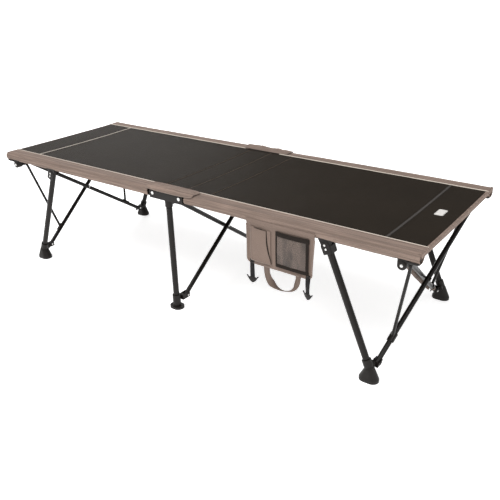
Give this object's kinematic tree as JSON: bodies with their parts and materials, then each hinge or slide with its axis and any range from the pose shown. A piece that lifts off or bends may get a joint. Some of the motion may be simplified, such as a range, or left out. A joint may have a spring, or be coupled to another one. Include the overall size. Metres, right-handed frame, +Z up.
{
  "type": "folding cot",
  "caption": "Folding cot with a fabric deck, two side rails that fold at the middle, crossed braces, legs with feet and a side pocket.",
  "frame": {"origin": "on the floor below the middle of the deck", "axes": "+X along the cot towards the end whose near rail carries the pocket, +Y across it away from the pocket, +Z up"},
  "size_m": [2.1, 0.75, 0.531],
  "materials": {
    "deck_fabric": "satin",
    "border_fabric": "matt",
    "piping": "matt",
    "mesh_fabric": "matt",
    "webbing": "matt",
    "black_webbing": "satin",
    "tube_paint": "gloss",
    "moulded_plastic": "satin",
    "rivet_steel": "satin"
  },
  "bodies": {
    "near_hub": {"hinge_bracket_near": "moulded_plastic", "hinge_pins_near": "rivet_steel", "middle_leg_inner_near": "tube_paint", "deck_middle": "border_fabric"},
    "middle_brace_down": {"middle_brace_down": "tube_paint"},
    "middle_brace_up": {"middle_brace_up": "tube_paint"},
    "near_middle_foot": {"middle_foot_near": "moulded_plastic", "middle_leg_outer_near": "tube_paint"},
    "far_middle_foot": {"middle_foot_far": "moulded_plastic", "middle_leg_outer_far": "tube_paint"},
    "far_hub": {"hinge_bracket_far": "moulded_plastic", "hinge_pins_far": "rivet_steel", "middle_leg_inner_far": "tube_paint"},
    "near_right_rail": {"rail_near_right": "tube_paint", "rail_cap_near_right": "moulded_plastic", "sleeve_near_right": "border_fabric", "rail_brackets_near_right": "moulded_plastic", "deck_right": "deck_fabric"},
    "far_right_rail": {"rail_far_right": "tube_paint", "rail_cap_far_right": "moulded_plastic", "sleeve_far_right": "border_fabric", "rail_brackets_far_right": "moulded_plastic"},
    "near_right_clevis": {"brace_clevis_near_right": "moulded_plastic"},
    "near_right_leg": {"end_leg_near_right": "tube_paint", "end_foot_near_right": "moulded_plastic"},
    "near_right_hub": {"brace_hub_near_right": "moulded_plastic"},
    "near_right_strut": {"strut_near_right": "tube_paint"},
    "far_right_clevis": {"brace_clevis_far_right": "moulded_plastic"},
    "far_right_leg": {"end_leg_far_right": "tube_paint", "end_foot_far_right": "moulded_plastic"},
    "far_right_hub": {"brace_hub_far_right": "moulded_plastic"},
    "far_right_strut": {"strut_far_right": "tube_paint"},
    "right_brace_down": {"end_brace_down_right": "tube_paint"},
    "right_brace_up": {"end_brace_up_right": "tube_paint"},
    "near_left_rail": {"rail_near_left": "tube_paint", "rail_cap_near_left": "moulded_plastic", "sleeve_near_left": "border_fabric", "rail_brackets_near_left": "moulded_plastic", "deck_left": "deck_fabric"},
    "far_left_rail": {"rail_far_left": "tube_paint", "rail_cap_far_left": "moulded_plastic", "sleeve_far_left": "border_fabric", "rail_brackets_far_left": "moulded_plastic"},
    "near_left_clevis": {"brace_clevis_near_left": "moulded_plastic"},
    "near_left_leg": {"end_leg_near_left": "tube_paint", "end_foot_near_left": "moulded_plastic"},
    "near_left_hub": {"brace_hub_near_left": "moulded_plastic"},
    "near_left_strut": {"strut_near_left": "tube_paint"},
    "far_left_clevis": {"brace_clevis_far_left": "moulded_plastic"},
    "far_left_leg": {"end_leg_far_left": "tube_paint", "end_foot_far_left": "moulded_plastic"},
    "far_left_hub": {"brace_hub_far_left": "moulded_plastic"},
    "far_left_strut": {"strut_far_left": "tube_paint"},
    "left_brace_down": {"end_brace_down_left": "tube_paint"},
    "left_brace_up": {"end_brace_up_left": "tube_paint"},
    "pocket": {"pocket_panel": "border_fabric", "pocket_handle": "webbing", "pocket_straps": "black_webbing", "strap_buckles": "moulded_plastic"}
  },
  "joints": [
    {"name": "width_fold", "type": "hinge", "parent": "near_hub", "child": "middle_brace_down", "pos_m": [-0.0115, -0.303, 0.4767], "axis": [-1, 0, 0], "range_deg": [0, 42]},
    {"name": "middle_brace_cross", "type": "hinge", "parent": "middle_brace_down", "child": "middle_brace_up", "pos_m": [0, 0, 0.26085], "axis": [1, 0, 0], "range_deg": [0, 84]},
    {"name": "near_middle_foot_pivot", "type": "hinge", "parent": "middle_brace_up", "child": "near_middle_foot", "pos_m": [0.0115, -0.303, 0.045], "axis": [-1, 0, 0], "range_deg": [0, 42]},
    {"name": "far_hub_pivot", "type": "hinge", "parent": "middle_brace_up", "child": "far_hub", "pos_m": [0.0115, 0.303, 0.4767], "axis": [-1, 0, 0], "range_deg": [0, 42]},
    {"name": "far_middle_foot_pivot", "type": "hinge", "parent": "middle_brace_down", "child": "far_middle_foot", "pos_m": [-0.0115, 0.303, 0.045], "axis": [1, 0, 0], "range_deg": [0, 42]},
    {"name": "right_fold", "type": "hinge", "parent": "near_hub", "child": "near_right_rail", "pos_m": [0.07, -0.35, 0.5117], "axis": [0, -1, 0], "range_deg": [0, 90]},
    {"name": "far_right_fold", "type": "hinge", "parent": "far_hub", "child": "far_right_rail", "pos_m": [0.07, 0.35, 0.5117], "axis": [0, -1, 0], "range_deg": [0, 90]},
    {"name": "near_right_brace_tilt", "type": "hinge", "parent": "near_right_rail", "child": "near_right_clevis", "pos_m": [0.99, -0.35, 0.4767], "axis": [0, 1, 0], "range_deg": [0, 68.92]},
    {"name": "near_right_leg_swing", "type": "hinge", "parent": "near_right_rail", "child": "near_right_leg", "pos_m": [0.72, -0.35, 0.4807], "axis": [0, 1, 0], "range_deg": [0, 98.07]},
    {"name": "far_right_brace_tilt", "type": "hinge", "parent": "far_right_rail", "child": "far_right_clevis", "pos_m": [0.99, 0.35, 0.4767], "axis": [0, 1, 0], "range_deg": [0, 68.92]},
    {"name": "far_right_leg_swing", "type": "hinge", "parent": "far_right_rail", "child": "far_right_leg", "pos_m": [0.72, 0.35, 0.4807], "axis": [0, 1, 0], "range_deg": [0, 98.07]},
    {"name": "right_brace_turn", "type": "hinge", "parent": "near_right_clevis", "child": "right_brace_down", "pos_m": [0.97875, -0.303, 0.4791], "axis": [-0.978, 0, 0.2085], "range_deg": [0, 42]},
    {"name": "right_brace_cross", "type": "hinge", "parent": "right_brace_down", "child": "right_brace_up", "pos_m": [0.945, 0, 0.26559], "axis": [0.978, 0, -0.2085], "range_deg": [0, 84]},
    {"name": "near_right_hub_pivot", "type": "hinge", "parent": "right_brace_up", "child": "near_right_hub", "pos_m": [0.91125, -0.303, 0.05209], "axis": [-0.978, 0, 0.2085], "range_deg": [0, 42]},
    {"name": "far_right_hub_pivot", "type": "hinge", "parent": "right_brace_down", "child": "far_right_hub", "pos_m": [0.88875, 0.303, 0.05688], "axis": [0.978, 0, -0.2085], "range_deg": [0, 42]},
    {"name": "near_right_strut_turn", "type": "hinge", "parent": "near_right_clevis", "child": "near_right_strut", "pos_m": [1.00125, -0.303, 0.4743], "axis": [-0.978, 0, 0.2085], "range_deg": [0, 10.82]},
    {"name": "far_right_strut_turn", "type": "hinge", "parent": "far_right_clevis", "child": "far_right_strut", "pos_m": [0.97875, 0.303, 0.4791], "axis": [0.978, 0, -0.2085], "range_deg": [0, 10.82]},
    {"name": "left_fold", "type": "hinge", "parent": "near_hub", "child": "near_left_rail", "pos_m": [-0.07, -0.35, 0.5117], "axis": [0, 1, 0], "range_deg": [0, 90]},
    {"name": "far_left_fold", "type": "hinge", "parent": "far_hub", "child": "far_left_rail", "pos_m": [-0.07, 0.35, 0.5117], "axis": [0, 1, 0], "range_deg": [0, 90]},
    {"name": "near_left_brace_tilt", "type": "hinge", "parent": "near_left_rail", "child": "near_left_clevis", "pos_m": [-0.99, -0.35, 0.4767], "axis": [0, -1, 0], "range_deg": [0, 68.92]},
    {"name": "near_left_leg_swing", "type": "hinge", "parent": "near_left_rail", "child": "near_left_leg", "pos_m": [-0.72, -0.35, 0.4807], "axis": [0, -1, 0], "range_deg": [0, 98.07]},
    {"name": "far_left_brace_tilt", "type": "hinge", "parent": "far_left_rail", "child": "far_left_clevis", "pos_m": [-0.99, 0.35, 0.4767], "axis": [0, -1, 0], "range_deg": [0, 68.92]},
    {"name": "far_left_leg_swing", "type": "hinge", "parent": "far_left_rail", "child": "far_left_leg", "pos_m": [-0.72, 0.35, 0.4807], "axis": [0, -1, 0], "range_deg": [0, 98.07]},
    {"name": "left_brace_turn", "type": "hinge", "parent": "near_left_clevis", "child": "left_brace_down", "pos_m": [-0.97875, -0.303, 0.4791], "axis": [-0.978, 0, -0.2085], "range_deg": [0, 42]},
    {"name": "left_brace_cross", "type": "hinge", "parent": "left_brace_down", "child": "left_brace_up", "pos_m": [-0.945, 0, 0.26559], "axis": [0.978, 0, 0.2085], "range_deg": [0, 84]},
    {"name": "near_left_hub_pivot", "type": "hinge", "parent": "left_brace_up", "child": "near_left_hub", "pos_m": [-0.91125, -0.303, 0.05209], "axis": [-0.978, 0, -0.2085], "range_deg": [0, 42]},
    {"name": "far_left_hub_pivot", "type": "hinge", "parent": "left_brace_down", "child": "far_left_hub", "pos_m": [-0.88875, 0.303, 0.05688], "axis": [0.978, 0, 0.2085], "range_deg": [0, 42]},
    {"name": "near_left_strut_turn", "type": "hinge", "parent": "near_left_clevis", "child": "near_left_strut", "pos_m": [-1.00125, -0.303, 0.4743], "axis": [-0.978, 0, -0.2085], "range_deg": [0, 10.82]},
    {"name": "far_left_strut_turn", "type": "hinge", "parent": "far_left_clevis", "child": "far_left_strut", "pos_m": [-0.97875, 0.303, 0.4791], "axis": [0.978, 0, 0.2085], "range_deg": [0, 10.82]},
    {"name": "pocket_swing", "type": "hinge", "parent": "near_right_rail", "child": "pocket", "pos_m": [0.542, -0.367, 0.5017], "axis": [-1, 0, 0], "range_deg": [0, 90]}
  ],
  "couplings": [
    {"joint": "middle_brace_cross", "follows": "width_fold", "ratio": 2},
    {"joint": "near_middle_foot_pivot", "follows": "width_fold", "ratio": 1},
    {"joint": "far_hub_pivot", "follows": "width_fold", "ratio": 1},
    {"joint": "far_middle_foot_pivot", "follows": "width_fold", "ratio": 1},
    {"joint": "far_right_fold", "follows": "right_fold", "ratio": 1},
    {"joint": "near_right_brace_tilt", "follows": "width_fold", "ratio": 1.6404},
    {"joint": "near_right_leg_swing", "follows": "width_fold", "ratio": 2.3346},
    {"joint": "far_right_brace_tilt", "follows": "width_fold", "ratio": 1.6404},
    {"joint": "far_right_leg_swing", "follows": "width_fold", "ratio": 2.3346},
    {"joint": "right_brace_turn", "follows": "width_fold", "ratio": 1},
    {"joint": "right_brace_cross", "follows": "width_fold", "ratio": 2},
    {"joint": "near_right_hub_pivot", "follows": "width_fold", "ratio": 1},
    {"joint": "far_right_hub_pivot", "follows": "width_fold", "ratio": 1},
    {"joint": "near_right_strut_turn", "follows": "width_fold", "ratio": 0.25712},
    {"joint": "far_right_strut_turn", "follows": "width_fold", "ratio": 0.25712},
    {"joint": "far_left_fold", "follows": "left_fold", "ratio": 1},
    {"joint": "near_left_brace_tilt", "follows": "width_fold", "ratio": 1.6404},
    {"joint": "near_left_leg_swing", "follows": "width_fold", "ratio": 2.3346},
    {"joint": "far_left_brace_tilt", "follows": "width_fold", "ratio": 1.6404},
    {"joint": "far_left_leg_swing", "follows": "width_fold", "ratio": 2.3346},
    {"joint": "left_brace_turn", "follows": "width_fold", "ratio": 1},
    {"joint": "left_brace_cross", "follows": "width_fold", "ratio": 2},
    {"joint": "near_left_hub_pivot", "follows": "width_fold", "ratio": 1},
    {"joint": "far_left_hub_pivot", "follows": "width_fold", "ratio": 1},
    {"joint": "near_left_strut_turn", "follows": "width_fold", "ratio": 0.25712},
    {"joint": "far_left_strut_turn", "follows": "width_fold", "ratio": 0.25712}
  ]
}
